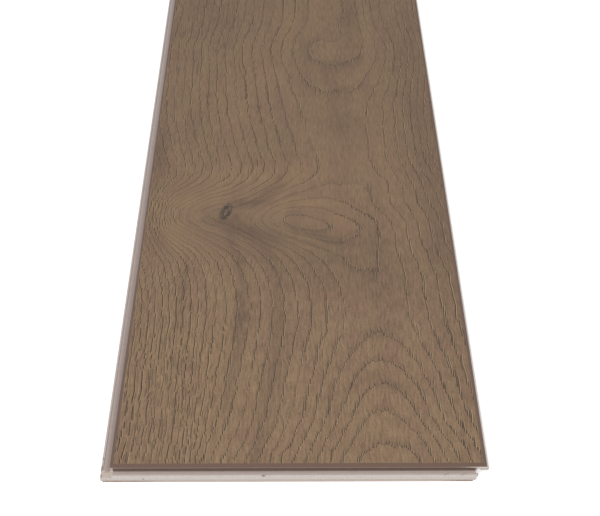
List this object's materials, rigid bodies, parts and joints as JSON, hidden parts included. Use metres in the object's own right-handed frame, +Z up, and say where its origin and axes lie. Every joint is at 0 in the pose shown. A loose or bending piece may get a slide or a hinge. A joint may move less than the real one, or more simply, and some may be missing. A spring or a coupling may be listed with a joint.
{
  "type": "vinyl floor plank",
  "caption": "Flat rigid-core floor plank with an oak-look printed face, painted bevels, click edges on all sides and a thin pad below.",
  "frame": {"origin": "on the underside, below the middle of the face between the four joints, so planks laid side by side repeat at the face's width and length", "axes": "+Z up out of the walking face, +Y along the length away from the grooved short end, +X across the width towards the long tongue edge"},
  "size_m": [0.2353, 1.5299, 0.0085],
  "materials": {
    "decor_layer": "matte",
    "core": "matte",
    "underlay_pad": "matte"
  },
  "bodies": {
    "root": {"decor_layer": "decor_layer", "core": "core", "underlay_pad": "underlay_pad"}
  },
  "joints": []
}
